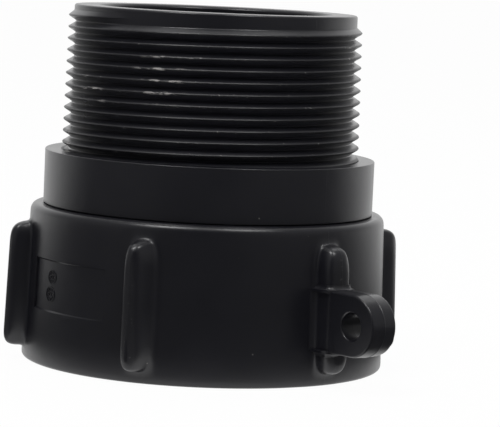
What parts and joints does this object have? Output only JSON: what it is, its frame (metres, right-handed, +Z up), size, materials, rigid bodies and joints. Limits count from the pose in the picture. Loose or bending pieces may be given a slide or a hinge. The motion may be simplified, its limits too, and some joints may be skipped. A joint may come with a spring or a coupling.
{
  "type": "swivel tank outlet adapter fitting",
  "caption": "Black swivel pipe fitting: a ribbed union nut with a seal lug and coarse female thread turns on a spigot with a collar and a male pipe thread.",
  "frame": {"origin": "centre of the union nut's mouth, on the axis, in the plane that the nut stands on", "axes": "+Z runs up the axis from the nut's mouth to the end of the male thread; the pictured side faces -Y, and the seal lug points 49 degrees from +X towards -Y"},
  "size_m": [0.0794, 0.08, 0.071],
  "materials": {
    "nut_plastic": "satin black moulded polypropylene",
    "spigot_plastic": "satin black moulded polypropylene",
    "gasket_rubber": "matt black rubber"
  },
  "bodies": {
    "spigot": {"threaded_spigot": "spigot_plastic", "flat_gasket": "gasket_rubber"},
    "nut": {"union_nut": "nut_plastic"}
  },
  "joints": [
    {"name": "nut_swivel", "type": "hinge", "parent": "spigot", "child": "nut", "pos_m": [0, 0, 0.0279], "axis": [0, 0, 1], "continuous": true}
  ]
}
